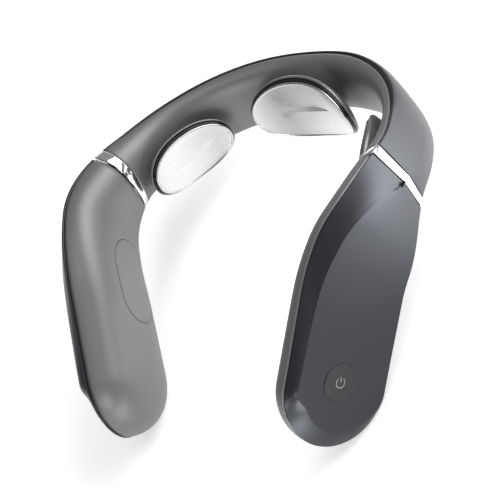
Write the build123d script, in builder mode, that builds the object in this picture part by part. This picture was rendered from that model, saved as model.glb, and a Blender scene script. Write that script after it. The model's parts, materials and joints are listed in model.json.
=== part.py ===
"""U-shaped neck massager: a sprung back bridge, two arms and three floating massage heads.

Frame: +Z up, -Y towards the arm tips, +X towards the arm with the power button.
The massager stands on its back band and its two arm tips, as an arch, with z = 0 on the table.
Every sub-part is placed by a plane across the band, which is found from its station: the length
along the seam line from the middle of the back, negative on the left.
"""

import math
import os

from build123d import *

os.makedirs("parts", exist_ok=True)

# ---------------------------------------------------------------- driving dimensions (mm, degrees)
half_width = 75.7          # middle of the back to the seam at the widest point
back_radius = 90.0         # plan radius of the back
back_angle = 24.8          # half the angle of that arc
side_radius = 51.0         # plan radius where the arms turn inwards
toe_in = 16.5              # how far the arms point inwards
apex_y = -9.4              # highest point of the arch, measured from the widest point
apex_radius = 65.4         # side-view radius over the apex
front_droop = 25.7         # side-view slope of the arms
back_droop = 25.3          # side-view slope of the back
ring_station = 101.0       # where the chrome rings are
ring_width = 4.0
arm_station = 184.4        # where the round arm tips start

# lean of the section from upright, at stations along the band
lean_points = ((0, 27.0), (35, 17.0), (70, 6.0), (101, -2.0), (125, -7.5), (184, -7.0))
seam_sag = 1.3             # how far the arms' middle lies below the seam line

back_half_height = 12.4
neck_half_height = 13.9    # beside the middle head
tip_half_height = 22.5
swell_start = 88.0         # the band grows taller from here
swell_end = 138.0          # to here
back_inner_depth = 7.5     # seam to the inner face
ring_inner_depth = 14.3
arm_inner_depth = 16.8
back_outer_depth = 3.3     # seam to the crease of the outer face
arm_outer_depth = 5.2
lower_edge_share = 0.55    # depth of the outer face at its lower edge, as a share of the crease's
# height of the outer face's crease, as a share of the half height
crease_points = ((80, -0.36), (101, -0.14), (115, 0.32), (133, 0.65), (150, 0.78), (184, 0.87))

wall = 1.6                 # inner shells and rings
outer_wall = 1.2           # outer shells
seam_gap = 0.8             # half the thickness of the seam gasket
seam_play = 0.06           # between the gasket and each shell
gasket_recess = 0.6
gasket_width = 1.6
hinge_gap = 0.8            # between a ring and its arm
fit_gap = 0.3              # between parts that don't touch
running_gap = 0.05         # radial, pins in their holes

# massage heads: station, plate to seam, rise, plate half length and half breadth, pitch, yaw
head_specs = {
    "left": (-72.7, 17.4, -2.3, 18.5, 10.7, 4.0, 7.1),
    "centre": (0.0, 18.5, -2.1, 24.6, 14.6, -6.6, 0.0),
    "right": (72.7, 17.4, -2.3, 18.5, 10.7, 4.0, -7.1),
}
plate_radius = 48.0        # the plates are bent around the neck
plate_thick = 1.2
insulator_thick = 0.5
insulator_depth = 2.6
insulator_proud = 0.5
cup_rim = 0.8              # cup wall outside the insulator
cup_depth = 4.0
cone_share = 0.72          # size of the cone where it meets the cup
neck_depth = 6.2           # plate to the end of the cone
neck_radius = 5.8
socket_radius = 4.6        # hollow in the neck, round the gimbal
gimbal_radius = 4.2
gimbal_bore = 3.2
gimbal_height = 1.5
gimbal_depth = 4.6         # plate to the tilt axes
stub_radius = 0.6
plunger_radius = 2.2
plunger_top = 3.6          # plate to the end of the plunger
collar_radius = 3.6
collar_height = 0.6
plunge_travel = 1.5
mound_radius = 9.5
mound_top_radius = 6.8
mound_height = 0.8
bellows_wall = 0.8
bush_wall = 1.2

plate_edge = 0.4
cup_recess = 2.0           # plate face to the cup's rim
cone_overlap = 1.0
socket_top = 2.9           # plate face to the top of the socket
stub_reach = 0.8
collar_depth = 6.0
stop_lip = 0.5
stop_height = 0.8
spring_wire = 0.35
spring_radius = 3.2

# spring-steel band inside the bridge
steel_inward = 0.9
steel_thick = 0.6
steel_half_height = 7.0

# power button
button_station = 181.0
button_rise = 1.0
button_radius = 7.4
button_travel = 0.6
button_thick = 1.2
button_play = 0.2          # round the button in its shell

# charging socket
socket_width = 9.0
socket_height = 3.3
socket_length = 7.0
socket_wall = 0.4

socket_station = 166.0
socket_inward = 4.5
socket_recess = 0.3
socket_play = 0.2          # round the socket in its shell
socket_tongue = 0.7
socket_lead = 2.0          # how far outside the shell its opening is cut from

# inlay on the left arm
insert_station = 149.5
insert_turn = 5.0          # below facing the neck
insert_drop = 1.8
insert_half_length = 16.7
insert_half_width = 11.0
insert_thick = 0.7

# inside the arms
frame_low = -0.3           # seam to the two faces of the frame
frame_high = 0.9
frame_clearance = 0.45
screw_stations = (111.0, 149.0, 192.0)
screw_radius = 1.0
screw_head_radius = 1.9
screw_head = 1.0
screw_play = 0.2           # round the screws in the frame
screw_reach = 7.0
boss_radius = 2.3
boss_foot = 1.0
battery_span = (118.0, 144.0)
battery_half_width = 11.0
battery_thick = 7.0
battery_lift = 3.1         # frame to battery, the arm being curved
board_span = (153.0, 176.0)
board_half_width = 9.0
board_thick = 1.0
switch_size = 5.0
switch_height = 1.0
lip_width = 0.8
lip_height = 0.5

# hinges
pin_radius = 1.0
knuckle_radius = 2.1
knuckle_half = 3.0
lug_width = 2.4
pin_inward = 1.8
spring_turns = 5
torsion_radius = 1.45
torsion_wire = 0.3
bracket_length = 7.0
bracket_thick = 1.2


def blend(value, low, high):
    """0 below low, 1 above high, smooth between."""
    share = min(max((value - low) / (high - low), 0.0), 1.0)
    return share * share * (3 - 2 * share)


def spread(first, last, count):
    return [first + (last - first) * i / (count - 1) for i in range(count)]


def slope_at(points, i):
    """Slope of a smooth curve at one of its points, level at both ends."""
    if i in (0, len(points) - 1):
        return 0.0
    (x0, y0), (x1, y1), (x2, y2) = points[i - 1 : i + 2]
    before, after = x1 - x0, x2 - x1
    weighed = (y1 - y0) / before * after + (y2 - y1) / after * before
    return weighed / (before + after)


def through(value, points):
    """Smooth curve through a few points, level beyond the ends."""
    value = min(max(value, points[0][0]), points[-1][0])
    i = max(k for k in range(len(points) - 1) if points[k][0] <= value)
    (x0, y0), (x1, y1) = points[i : i + 2]
    gap = x1 - x0
    share = (value - x0) / gap
    rest = 1 - share
    return (
        y0 * (1 + 2 * share) * rest**2
        + slope_at(points, i) * gap * share * rest**2
        + y1 * share**2 * (3 - 2 * share)
        - slope_at(points, i + 1) * gap * share**2 * rest
    )


# ---------------------------------------------------------------- the line of the band
corner_radius = (half_width - back_radius * math.sin(math.radians(back_angle))) / (
    1 - math.sin(math.radians(back_angle))
)
back_end = back_radius * math.radians(back_angle)
corner_end = back_end + corner_radius * math.radians(90 - back_angle)
side_end = corner_end + side_radius * math.radians(toe_in)


def plan_point(station):
    """x, y and heading of the seam line in plan; y = 0 at the widest point."""
    turn_back = math.radians(back_angle)
    widest_y = corner_radius * -math.cos(turn_back) + back_radius * (math.cos(turn_back) - 1)
    if station <= back_end:
        turn = station / back_radius
        x = back_radius * math.sin(turn)
        y = back_radius * (math.cos(turn) - 1)
    elif station <= corner_end:
        turn = turn_back + (station - back_end) / corner_radius
        x = half_width - corner_radius * (1 - math.sin(turn))
        y = widest_y + corner_radius * math.cos(turn)
    else:
        turn = math.pi / 2 + min(station - corner_end, side_end - corner_end) / side_radius
        straight = max(station - side_end, 0.0)
        x = half_width - side_radius * (1 - math.sin(turn)) + straight * math.cos(turn)
        y = widest_y + side_radius * math.cos(turn) - straight * math.sin(turn)
    return x, y - widest_y, turn


def arch_height(y):
    """Height and slope of the seam line in side view, 0 at the apex."""
    run = y - apex_y
    front = -apex_radius * math.sin(math.radians(front_droop))
    back = apex_radius * math.sin(math.radians(back_droop))
    held = min(max(run, front), back)
    drop = math.sqrt(apex_radius**2 - held**2)
    slope = -held / drop
    return drop - apex_radius + (run - held) * slope, slope


def line_plane(station, inward=0.0, up=0.0, along=0.0):
    """Plane across the band on the seam line's axes: local x up the band, y towards the neck."""
    side = -1 if station < 0 else 1
    reach = abs(station)
    on_line = min(reach, arm_station)
    x, y, turn = plan_point(on_line)
    height, slope = arch_height(y)
    heading = Vector(math.cos(turn), -math.sin(turn), -slope * math.sin(turn)).normalized()
    outward = Vector(math.sin(turn), math.cos(turn), 0)
    upright = heading.cross(outward)
    lean = math.radians(through(on_line, lean_points))
    rise = upright * math.cos(lean) + outward * math.sin(lean)
    out = outward * math.cos(lean) - upright * math.sin(lean)
    sag = seam_sag * blend(reach, 40, 110)
    spot = Vector(x, y, height) + heading * (reach - on_line) - rise * sag
    spot = spot + rise * up - out * inward + heading * along
    flip = Vector(side, 1, 1)
    mirrored = [Vector(v.X * flip.X, v.Y, v.Z) for v in (spot, rise, heading)]
    return Plane(origin=mirrored[0], x_dir=mirrored[1], z_dir=mirrored[2] * side)


# ---------------------------------------------------------------- sections of the band
def tip_share(station, shrink=0.0):
    """1 along the band, falling to 0 round the tip."""
    past = (abs(station) - arm_station) / (tip_half_height - shrink)
    return math.sqrt(max(1 - past * past, 0.0)) if past > 0 else 1.0


def half_height(station, shrink=0.0):
    reach = abs(station)
    height = back_half_height + (neck_half_height - back_half_height) * blend(reach, 0, 35)
    height += (tip_half_height - neck_half_height) * blend(reach, swell_start, swell_end)
    return (height - shrink) * tip_share(station, shrink)


def inner_depth(station, shrink=0.0):
    reach = abs(station)
    depth = back_inner_depth + (ring_inner_depth - back_inner_depth) * blend(reach, 66, 112)
    depth += (arm_inner_depth - ring_inner_depth) * blend(reach, 120, 160)
    return (depth - shrink) * tip_share(station, shrink) ** 0.8


def outer_depth(station, shrink=0.0):
    swell = blend(abs(station), 100, 140)
    depth = back_outer_depth + (arm_outer_depth - back_outer_depth) * swell
    return (depth - shrink) * tip_share(station, shrink) ** 0.5


def crease_share(station):
    """Where the crease of the outer face runs: -1 at the lower edge, 1 at the upper edge."""
    return through(abs(station), crease_points)


def inner_outline(station, shrink=0.0, start=seam_gap):
    """Control points of the pillow-shaped inner face, from the lower to the upper edge."""
    h = half_height(station, shrink)
    d = max(inner_depth(station, shrink), start + 0.5)
    belly = start + 0.72 * (d - start)
    return [(-h, start), (-h, belly), (-0.62 * h, d), (0, d), (0.62 * h, d), (h, belly), (h, start)]


def outer_outline(station, shrink=0.0, start=seam_gap):
    """Corners of the creased outer face, from the lower to the upper edge."""
    h = half_height(station, shrink)
    d = max(outer_depth(station, shrink), start + 0.4)
    low = max(lower_edge_share * d, start + 0.2)
    return [(-h, -start), (-0.94 * h, -low), (crease_share(station) * h, -d), (h, -start)]


def inner_section(station, shrink=0.0, start=seam_gap):
    points = inner_outline(station, shrink, start)
    with BuildSketch(band_plane(station)) as section:
        with BuildLine():
            Bezier(*points[0:4])
            Bezier(*points[3:7])
            Line(points[6], points[0])
        make_face()
    return section.sketch.faces()[0]


def outer_section(station, shrink=0.0, start=seam_gap):
    with BuildSketch(band_plane(station)) as section:
        with BuildLine():
            Polyline(*outer_outline(station, shrink, start), close=True)
        make_face()
    return section.sketch.faces()[0]


def whole_section(station, shrink=0.0):
    """Inner and outer outlines joined across the seam."""
    inner = inner_outline(station, shrink)
    outer = outer_outline(station, shrink)
    with BuildSketch(band_plane(station)) as section:
        with BuildLine():
            Bezier(*inner[0:4])
            Bezier(*inner[3:7])
            Polyline(inner[6], *reversed(outer), inner[0])
        make_face()
    return section.sketch.faces()[0]


def slab_section(station, shrink, low, high):
    """Rectangle across the band, from low to high towards the neck."""
    h = half_height(station, shrink)
    with BuildSketch(band_plane(station)) as section:
        with BuildLine():
            Polyline((h, low), (h, high), (-h, high), (-h, low), close=True)
        make_face()
    return section.sketch.faces()[0]


def inner_curve(station):
    """Points along the lower half of the inner face."""
    a, b, c, d = [Vector(*point) for point in inner_outline(station)[0:4]]
    points = []
    for share in spread(0, 1, 13):
        rest = 1 - share
        point = a * rest**3 + b * 3 * rest**2 * share + c * 3 * rest * share**2 + d * share**3
        points.append((point.X, point.Y))
    return points


def seam_extent():
    """Lowest and foremost and rearmost points of the band's outline, on the seam line's own axes."""
    points = []
    for station in spread(0, arm_station + 0.999 * tip_half_height, 240):
        plane = line_plane(station)
        for across, inward in outer_outline(station) + inner_curve(station):
            points.append(plane.from_local_coords(Vector(across, inward, 0)))
    return (
        min(point.Z for point in points),
        min(point.Y for point in points),
        max(point.Y for point in points),
    )


floor, front, rear = seam_extent()


def band_plane(station, inward=0.0, up=0.0, along=0.0):
    """The plane across the band in the part's frame, which stands on z = 0."""
    plane = line_plane(station, inward, up, along)
    plane.origin = plane.origin - Vector(0, (front + rear) / 2, floor)
    return plane


def across_plane(station, inward=0.0, up=0.0, along=0.0):
    """Plane facing the neck: local x along the band, local y up the band."""
    plane = band_plane(station, inward, up, along)
    return Plane(origin=plane.origin, x_dir=plane.z_dir, z_dir=plane.y_dir)


def upright_plane(station, inward=0.0, up=0.0, along=0.0):
    """Plane facing up the band: local x along the band, local y away from the neck."""
    plane = band_plane(station, inward, up, along)
    return Plane(origin=plane.origin, x_dir=plane.z_dir, z_dir=plane.x_dir)


def finish(part, name):
    part.label = name
    export_step(part, f"parts/{name}.step")


gasket_half = seam_gap - seam_play


def button_plane(height=0.0):
    """Plane on the outer face under the power button, facing out."""
    corners = [Vector(*point) for point in outer_outline(button_station)]
    panel = corners[2] - corners[1]
    spot = corners[2] - panel * ((corners[2].X - button_rise) / panel.X)
    base = band_plane(button_station, inward=spot.Y, up=spot.X)
    face_up = (base.x_dir * panel.X + base.y_dir * panel.Y).normalized()
    outward = face_up.cross(base.z_dir).normalized()
    return Plane(origin=base.origin + outward * height, x_dir=base.z_dir, z_dir=outward)


# ---------------------------------------------------------------- stations
bridge_end = ring_station - ring_width / 2
arm_start = ring_station + ring_width / 2 + hinge_gap
pin_station = ring_station + ring_width / 2 + hinge_gap / 2
bridge_stations = spread(-bridge_end, bridge_end, 15)
tip_turns = (14, 32, 50, 66, 80)


def arm_stations(shrink=0.0):
    along_arm = spread(arm_start, arm_station, 11)
    round_tip = [
        arm_station + (tip_half_height - shrink) * math.sin(math.radians(turn)) for turn in tip_turns
    ]
    return along_arm + round_tip


sides = {"left": -1, "right": 1}


def insert_piece(sign, growth, thick):
    """Long oval inlaid in the inner face of an arm, thick deep, with its edge grown by growth."""
    turn = math.radians(insert_turn)
    depth = inner_depth(insert_station)
    base = across_plane(sign * insert_station, inward=0.6 * depth, up=-insert_drop)
    facing = base.z_dir * math.cos(turn) - base.y_dir * math.sin(turn)
    face = Plane(origin=base.origin, x_dir=base.x_dir, z_dir=facing)
    with BuildPart() as piece:
        loft(sections=[inner_section(sign * s) for s in arm_stations()])
        loft(
            sections=[inner_section(sign * s, thick, seam_gap - 0.5) for s in arm_stations(thick)],
            mode=Mode.SUBTRACT,
        )
        with BuildSketch(face):
            SlotOverall(2 * (insert_half_length + growth), 2 * (insert_half_width + growth))
        extrude(amount=arm_inner_depth, mode=Mode.INTERSECT)
    return piece.part


def socket_plane(out=0.0):
    """Plane on the lower edge of the right arm at the charging socket, facing out."""
    reach = half_height(socket_station)
    base = band_plane(socket_station, inward=socket_inward, up=-reach - out)
    return Plane(origin=base.origin, x_dir=base.z_dir, z_dir=-base.x_dir)


# ---------------------------------------------------------------- massage heads
def head_plane(name, depth=0.0):
    """Plane of a head's plate, facing the neck, or one that lies depth behind it."""
    station, stand_off, rise, _, _, pitch, yaw = head_specs[name]
    base = across_plane(station, inward=stand_off, up=rise)
    pitch, yaw = math.radians(pitch), math.radians(yaw)
    raised = base.z_dir * math.cos(pitch) + base.y_dir * math.sin(pitch)
    facing = raised * math.cos(yaw) + base.x_dir * math.sin(yaw)
    along = base.x_dir * math.cos(yaw) - raised * math.sin(yaw)
    return Plane(origin=base.origin - facing * depth, x_dir=along, z_dir=facing)


def face_depth(name):
    """Plate to the inner face of the band."""
    station, stand_off = head_specs[name][0:2]
    return stand_off - inner_depth(station)


def bent_oval(name, growth, near, far):
    """Oval piece bent round the neck, from near to far from the neck's axis."""
    base = head_plane(name)
    side_on = Plane(origin=base.origin + base.z_dir * plate_radius, x_dir=base.x_dir, z_dir=base.y_dir)
    half_length, half_breadth = head_specs[name][3:5]
    with BuildPart() as piece:
        with BuildSketch(base):
            Ellipse(half_length + growth, half_breadth + growth)
        extrude(amount=plate_radius / 2, both=True)
        with BuildSketch(side_on):
            Circle(far)
            Circle(near, mode=Mode.SUBTRACT)
        extrude(amount=2 * half_breadth, both=True, mode=Mode.INTERSECT)
    return piece.part


# ---------------------------------------------------------------- bridge shells
with BuildPart() as bridge_inner_cover:
    loft(sections=[inner_section(station) for station in bridge_stations])
    loft(
        sections=[inner_section(station, wall, seam_gap - 0.5) for station in bridge_stations],
        mode=Mode.SUBTRACT,
    )
    for name in head_specs:
        depth = face_depth(name)
        with BuildSketch(head_plane(name, depth + 1.5)):
            Circle(mound_radius)
        with BuildSketch(head_plane(name, depth - mound_height)):
            Circle(mound_top_radius)
        loft()
        with BuildSketch(head_plane(name, depth - mound_height - 1)):
            Circle(plunger_radius + bush_wall + running_gap)
        extrude(amount=-(mound_height + 1 + 2 * wall + 2.5), mode=Mode.SUBTRACT)
finish(bridge_inner_cover.part, "bridge_inner_cover")

with BuildPart() as bridge_outer_cover:
    loft(sections=[outer_section(station) for station in bridge_stations])
    loft(
        sections=[outer_section(station, outer_wall, seam_gap - 0.5) for station in bridge_stations],
        mode=Mode.SUBTRACT,
    )
finish(bridge_outer_cover.part, "bridge_outer_cover")

with BuildPart() as bridge_seam_gasket:
    loft(sections=[slab_section(s, gasket_recess, -gasket_half, gasket_half) for s in bridge_stations])
    loft(
        sections=[slab_section(s, gasket_recess + gasket_width, -1, 1) for s in bridge_stations],
        mode=Mode.SUBTRACT,
    )
finish(bridge_seam_gasket.part, "bridge_seam_gasket")

# ---------------------------------------------------------------- chrome rings
for side, sign in sides.items():
    ring_stations = [sign * s for s in spread(bridge_end, bridge_end + ring_width, 3)]
    with BuildPart() as chrome_ring:
        loft(sections=[whole_section(station) for station in ring_stations])
        loft(sections=[whole_section(station, wall) for station in ring_stations], mode=Mode.SUBTRACT)
    finish(chrome_ring.part, f"{side}_chrome_ring")

# ---------------------------------------------------------------- arm shells
for side, sign in sides.items():
    with BuildPart() as arm_inner_shell:
        loft(sections=[inner_section(sign * s) for s in arm_stations()])
        loft(
            sections=[inner_section(sign * s, wall, seam_gap - 0.5) for s in arm_stations(wall)],
            mode=Mode.SUBTRACT,
        )
        for station in screw_stations:
            boss_top = inner_depth(station) - wall / 2
            with BuildSketch(across_plane(sign * station, inward=boss_foot)):
                Circle(boss_radius)
            extrude(amount=boss_top - boss_foot)
            with BuildSketch(across_plane(sign * station, inward=boss_foot)):
                Circle(screw_radius + running_gap)
            extrude(amount=screw_reach + 1, mode=Mode.SUBTRACT)
        if side == "left":
            add(insert_piece(sign, running_gap, insert_thick + running_gap), mode=Mode.SUBTRACT)
        else:
            with BuildSketch(socket_plane(socket_lead)):
                RectangleRounded(
                    socket_width + 2 * socket_play, socket_height + 2 * socket_play, socket_height / 2
                )
            extrude(amount=-(socket_length + socket_lead), mode=Mode.SUBTRACT)
    finish(arm_inner_shell.part, f"{side}_arm_inner_shell")

    with BuildPart() as arm_outer_shell:
        loft(sections=[outer_section(sign * s) for s in arm_stations()])
        loft(
            sections=[outer_section(sign * s, outer_wall, seam_gap - 0.5) for s in arm_stations(outer_wall)],
            mode=Mode.SUBTRACT,
        )
        if side == "right":
            with BuildSketch(button_plane()):
                Circle(button_radius + button_play)
            extrude(amount=outer_wall * 4, both=True, mode=Mode.SUBTRACT)
    finish(arm_outer_shell.part, f"{side}_arm_outer_shell")

    inner_edge = gasket_recess + gasket_width
    with BuildPart() as arm_gasket:
        loft(
            sections=[
                slab_section(sign * s, gasket_recess, -gasket_half, gasket_half)
                for s in arm_stations(gasket_recess)
            ]
        )
        loft(
            sections=[slab_section(sign * s, inner_edge, -1, 1) for s in arm_stations(inner_edge)],
            mode=Mode.SUBTRACT,
        )
    finish(arm_gasket.part, f"{side}_arm_gasket")

# ---------------------------------------------------------------- massage heads
insulator_face = plate_radius + insulator_proud
insulator_back = insulator_face + insulator_depth
bush_radius = plunger_radius + running_gap

for name in head_specs:
    pivot = head_plane(name, gimbal_depth)
    cross_ways = Plane(origin=pivot.origin, x_dir=pivot.y_dir, z_dir=pivot.x_dir)
    along_ways = Plane(origin=pivot.origin, x_dir=pivot.x_dir, z_dir=pivot.y_dir)
    half_length, half_breadth = head_specs[name][3:5]
    cover_depth = face_depth(name)
    seat_depth = cover_depth - mound_height
    stand_off = head_specs[name][1]

    with BuildPart() as electrode_plate:
        add(bent_oval(name, -running_gap, plate_radius, plate_radius + plate_thick - running_gap))
        fillet(electrode_plate.edges().group_by(SortBy.LENGTH)[-1], plate_edge)
    finish(electrode_plate.part, f"{name}_electrode_plate")

    with BuildPart() as insulating_ring:
        add(bent_oval(name, insulator_thick, insulator_face, insulator_back))
        add(bent_oval(name, 0, plate_radius - 1, plate_radius + plate_thick), mode=Mode.SUBTRACT)
        add(bent_oval(name, -insulator_thick, plate_radius, insulator_back + 1), mode=Mode.SUBTRACT)
    finish(insulating_ring.part, f"{name}_insulating_ring")

    with BuildPart() as head_cup:
        add(bent_oval(name, insulator_thick + cup_rim, plate_radius + cup_recess, plate_radius + cup_depth))
        with BuildSketch(head_plane(name, cup_depth - cone_overlap)):
            Ellipse(half_length * cone_share, half_breadth * cone_share)
        with BuildSketch(head_plane(name, neck_depth)):
            Circle(neck_radius)
        loft()
        add(
            bent_oval(name, insulator_thick + running_gap, plate_radius - 1, insulator_back + running_gap),
            mode=Mode.SUBTRACT,
        )
        with BuildSketch(head_plane(name, neck_depth)):
            Circle(socket_radius)
        extrude(amount=neck_depth - socket_top, mode=Mode.SUBTRACT)
        with BuildSketch(cross_ways):
            Circle(stub_radius + running_gap)
        extrude(amount=socket_radius + stub_reach, both=True, mode=Mode.SUBTRACT)
    finish(head_cup.part, f"{name}_head_cup")

    with BuildPart() as gimbal_ring:
        with BuildSketch(pivot.offset(-gimbal_height / 2)):
            Circle(gimbal_radius)
            Circle(gimbal_bore, mode=Mode.SUBTRACT)
        extrude(amount=gimbal_height)
        for way, reach, root in (
            (cross_ways, socket_radius + stub_reach - fit_gap, gimbal_bore + 0.3),
            (along_ways, gimbal_bore + 0.3, plunger_radius - stub_reach),
        ):
            for direction in (1, -1):
                with BuildSketch(way.offset(direction * root)):
                    Circle(stub_radius)
                extrude(amount=direction * (reach - root))
    finish(gimbal_ring.part, f"{name}_gimbal_ring")

    plunger_bottom = stand_off - steel_inward - steel_thick - plunge_travel - fit_gap
    with BuildPart() as plunger:
        with BuildSketch(head_plane(name, plunger_bottom)):
            Circle(plunger_radius)
        extrude(amount=plunger_bottom - plunger_top)
        with BuildSketch(head_plane(name, collar_depth + collar_height)):
            Circle(collar_radius)
        extrude(amount=collar_height)
        with BuildSketch(head_plane(name, plunger_bottom)):
            Circle(plunger_radius + stop_lip)
        extrude(amount=stop_height)
        with BuildSketch(along_ways):
            Circle(stub_radius + running_gap)
        extrude(amount=plunger_radius * 2, both=True, mode=Mode.SUBTRACT)
    finish(plunger.part, f"{name}_plunger")

    bush_bottom = plunger_bottom - stop_height - fit_gap
    with BuildPart() as guide_bush:
        with BuildSketch(head_plane(name, bush_bottom)):
            Circle(bush_radius + bush_wall - running_gap)
        extrude(amount=bush_bottom - seat_depth)
        with BuildSketch(head_plane(name, bush_bottom)):
            Circle(bush_radius)
        extrude(amount=bush_bottom - seat_depth, mode=Mode.SUBTRACT)
    finish(guide_bush.part, f"{name}_guide_bush")

    spring_room = seat_depth - collar_depth - collar_height
    coils = max(int(spring_room / (2 * spring_wire)), 2)
    spring_plane = head_plane(name, seat_depth)
    spring_side = Plane(origin=spring_plane.origin, x_dir=spring_plane.x_dir, z_dir=-spring_plane.y_dir)
    with BuildPart() as plunge_spring:
        with BuildSketch(spring_side):
            for turn in range(coils):
                with Locations((spring_radius, spring_room * (turn + 0.5) / coils)):
                    Circle(spring_room / coils / 2 + 0.05)
        revolve(axis=Axis(spring_plane.origin, spring_plane.z_dir))
        split(bisect_by=spring_plane.offset(0.02), keep=Keep.TOP)
        split(bisect_by=spring_plane.offset(spring_room - 0.02), keep=Keep.BOTTOM)
    finish(plunge_spring.part, f"{name}_plunge_spring")

    bellows_length = seat_depth - neck_depth
    folds = 2
    with BuildPart() as bellows:
        with BuildSketch(spring_side):
            with BuildLine():
                outside = [(mound_top_radius - 0.4, 0.0)]
                for fold in range(folds):
                    low = bellows_length * (fold + 0.5) / (folds + 0.5)
                    outside.append((neck_radius - 0.1, low))
                    outside.append((neck_radius + 0.5, low + bellows_length * 0.25 / (folds + 0.5)))
                outside.append((neck_radius - 0.1, bellows_length))
                inside = [(x - bellows_wall, y) for x, y in reversed(outside)]
                Polyline(*outside, *inside, close=True)
            make_face()
        revolve(axis=Axis(spring_plane.origin, spring_plane.z_dir))
    finish(bellows.part, f"{name}_bellows")

# ---------------------------------------------------------------- steel band in the bridge
steel_end = ring_station - ring_width - lug_width
steel_stations = spread(-steel_end, steel_end, 15)


def strip_section(station, half, low, high):
    with BuildSketch(band_plane(station)) as section:
        with BuildLine():
            Polyline((half, low), (half, high), (-half, high), (-half, low), close=True)
        make_face()
    return section.sketch.faces()[0]


with BuildPart() as steel_band:
    loft(
        sections=[
            strip_section(s, steel_half_height, steel_inward, steel_inward + steel_thick)
            for s in steel_stations
        ]
    )
finish(steel_band.part, "bridge_steel_band")

# ---------------------------------------------------------------- arm hinges
bracket_low = steel_inward + steel_thick + 0.6
lug_outer = knuckle_half + fit_gap + lug_width
for side, sign in sides.items():
    pin_base = sign * pin_station

    with BuildPart() as hinge_bracket:
        with BuildSketch(band_plane(sign * (steel_end - bracket_length), inward=bracket_low + bracket_thick / 2)):
            Rectangle(2 * lug_outer, bracket_thick)
        extrude(amount=sign * (pin_station - knuckle_radius - 1 - steel_end + bracket_length))
        for low in (-lug_outer, lug_outer - lug_width):
            with BuildSketch(upright_plane(pin_base, inward=pin_inward, up=low)):
                Circle(knuckle_radius)
                with Locations((-sign * (knuckle_radius + 2.5) / 2, 0)):
                    Rectangle(knuckle_radius + 2.5, 2 * knuckle_radius - 0.8)
            extrude(amount=lug_width)
            with BuildSketch(upright_plane(pin_base, inward=pin_inward, up=low)):
                Circle(pin_radius + running_gap)
            extrude(amount=lug_width, mode=Mode.SUBTRACT)
    finish(hinge_bracket.part, f"{side}_hinge_bracket")

    spring_start = lug_outer + fit_gap
    spring_length = spring_turns * 2 * torsion_wire
    with BuildPart() as hinge_pin:
        with BuildSketch(upright_plane(pin_base, inward=pin_inward, up=-lug_outer - 0.6)):
            Circle(pin_radius)
        extrude(amount=2 * lug_outer + 0.6 + fit_gap + spring_length + 0.6)
    finish(hinge_pin.part, f"{side}_hinge_pin")

    coil_plane = upright_plane(pin_base, inward=pin_inward, up=spring_start)
    coil_side = Plane(origin=coil_plane.origin, x_dir=coil_plane.x_dir, z_dir=-coil_plane.y_dir)
    with BuildPart() as torsion_spring:
        with BuildSketch(coil_side):
            for turn in range(spring_turns):
                with Locations((torsion_radius, torsion_wire * (2 * turn + 1))):
                    Circle(torsion_wire + 0.04)
        revolve(axis=Axis(coil_plane.origin, coil_plane.z_dir))
    finish(torsion_spring.part, f"{side}_torsion_spring")

    frame_shrink = gasket_recess + gasket_width + frame_clearance
    frame_stations = [s for s in arm_stations(frame_shrink) if s > arm_start]
    frame_stations[0:0] = [arm_start + 2]
    with BuildPart() as arm_frame:
        loft(sections=[slab_section(sign * s, frame_shrink, frame_low, frame_high) for s in frame_stations])
        with BuildSketch(band_plane(pin_base, inward=(frame_low + pin_inward + 1.2) / 2)):
            Rectangle(2 * knuckle_half, pin_inward + 1.2 - frame_low)
        extrude(amount=sign * (arm_start + 4 - pin_station))
        with BuildSketch(upright_plane(pin_base, inward=pin_inward, up=-knuckle_half)):
            Circle(knuckle_radius)
        extrude(amount=2 * knuckle_half)
        with BuildSketch(upright_plane(pin_base, inward=pin_inward, up=-knuckle_half - 1)):
            Circle(pin_radius + running_gap)
        extrude(amount=2 * knuckle_half + 2, mode=Mode.SUBTRACT)
        for station in screw_stations:
            with BuildSketch(across_plane(sign * station, inward=frame_low)):
                Circle(screw_radius + screw_play)
            extrude(amount=2 * (frame_high - frame_low), both=True, mode=Mode.SUBTRACT)
    finish(arm_frame.part, f"{side}_arm_frame")

    with BuildPart() as arm_screws:
        for station in screw_stations:
            with BuildSketch(across_plane(sign * station, inward=frame_low - screw_head)):
                Circle(screw_head_radius)
            extrude(amount=screw_head - fit_gap)
            with BuildSketch(across_plane(sign * station, inward=frame_low - screw_head / 2)):
                Circle(screw_radius)
            extrude(amount=screw_reach)
    finish(arm_screws.part, f"{side}_arm_screws")

    middle = sum(battery_span) / 2
    with BuildPart() as battery:
        with BuildSketch(across_plane(sign * middle, inward=frame_high + battery_lift)):
            RectangleRounded(battery_span[1] - battery_span[0], 2 * battery_half_width, 2)
        extrude(amount=battery_thick)
    finish(battery.part, f"{side}_battery")

with BuildPart() as arm_inlay:
    add(insert_piece(-1, 0, insert_thick))
finish(arm_inlay.part, "left_arm_inlay")

# ---------------------------------------------------------------- electronics and button
with BuildPart() as main_board:
    with BuildSketch(across_plane(sum(board_span) / 2, inward=frame_high + fit_gap)):
        RectangleRounded(board_span[1] - board_span[0], 2 * board_half_width, 1)
    extrude(amount=board_thick)
finish(main_board.part, "main_board")

with BuildPart() as usb_socket:
    with BuildSketch(socket_plane(-socket_recess)):
        RectangleRounded(socket_width, socket_height, socket_height / 2 - 0.01)
    extrude(amount=-socket_length)
    with BuildSketch(socket_plane(-socket_recess)):
        RectangleRounded(
            socket_width - 2 * socket_wall,
            socket_height - 2 * socket_wall,
            socket_height / 2 - socket_wall - 0.01,
        )
    extrude(amount=-(socket_length - 1), mode=Mode.SUBTRACT)
    with BuildSketch(socket_plane(-socket_recess - 1)):
        Rectangle(socket_width - 7 * socket_wall, socket_tongue)
    extrude(amount=-(socket_length - 1.5))
finish(usb_socket.part, "usb_socket")

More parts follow.
